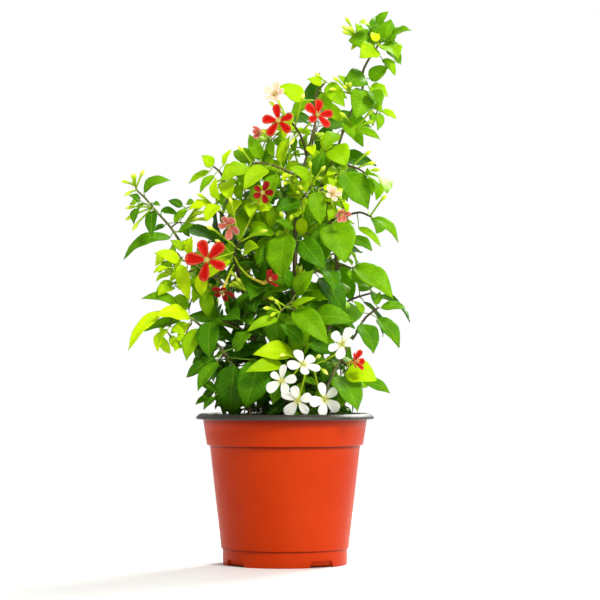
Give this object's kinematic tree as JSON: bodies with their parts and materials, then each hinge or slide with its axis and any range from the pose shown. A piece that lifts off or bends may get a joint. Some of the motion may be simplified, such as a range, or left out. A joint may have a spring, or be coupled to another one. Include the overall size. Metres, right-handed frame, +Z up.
{
  "type": "rangoon creeper in a nursery pot",
  "caption": "Young flowering climber with opposite leaves and red, pink and white star blooms, growing from soil in a tapered plastic nursery pot with a rolled lip",
  "frame": {"origin": "the middle of the flat underside of the pot, on the surface it stands on", "axes": "+Z up; the plant's front, as pictured, faces -Y; +X to the right seen from the front"},
  "size_m": [0.2456, 0.1793, 0.4671],
  "materials": {
    "pot_plastic": "satin",
    "soil": "matte",
    "wood_stem": "matte",
    "leaf": "satin",
    "petal_red": "satin",
    "petal_dark_red": "satin",
    "petal_pink": "satin",
    "petal_cream": "satin",
    "petal_white": "satin"
  },
  "bodies": {
    "root": {"bloom_crown_faded": "petal_cream", "bloom_crown_left": "petal_red", "bloom_crown_pink": "petal_pink", "bloom_crown_right": "petal_red", "bloom_left_pink": "petal_pink", "bloom_left_star": "petal_red", "bloom_left_under": "petal_dark_red", "bloom_low_orange": "petal_red", "bloom_middle_side": "petal_dark_red", "bloom_right_cream": "petal_cream", "bloom_right_faded": "petal_pink", "bloom_upper_dark": "petal_dark_red", "bloom_white_corner": "petal_white", "bloom_white_left": "petal_white", "bloom_white_low": "petal_white", "bloom_white_right": "petal_white", "bloom_white_top": "petal_white", "pot": "pot_plastic", "shoot_branch": "leaf", "shoot_centre_high": "leaf", "shoot_centre_low": "leaf", "shoot_crown": "leaf", "shoot_filler_1": "leaf", "shoot_filler_10": "leaf", "shoot_filler_11": "leaf", "shoot_filler_12": "leaf", "shoot_filler_13": "leaf", "shoot_filler_14": "leaf", "shoot_filler_2": "leaf", "shoot_filler_3": "leaf", "shoot_filler_4": "leaf", "shoot_filler_5": "leaf", "shoot_filler_6": "leaf", "shoot_filler_7": "leaf", "shoot_filler_8": "leaf", "shoot_filler_9": "leaf", "shoot_left_middle": "leaf", "shoot_left_top": "leaf", "shoot_left_upper": "leaf", "shoot_low_left": "leaf", "shoot_low_right": "leaf", "shoot_middle": "leaf", "shoot_right_high": "leaf", "shoot_right_low": "leaf", "shoot_right_middle": "leaf", "shoot_rim_left": "leaf", "shoot_rim_right": "leaf", "shoot_shoulder": "leaf", "shoot_top": "leaf", "shoot_upper_left": "leaf", "soil": "soil", "spray_crown": "leaf", "spray_left": "leaf", "spray_white": "leaf", "stem_back": "wood_stem", "stem_centre": "wood_stem", "stem_left": "wood_stem", "stem_low_left": "wood_stem", "stem_low_right": "wood_stem", "stem_right": "wood_stem"}
  },
  "joints": []
}
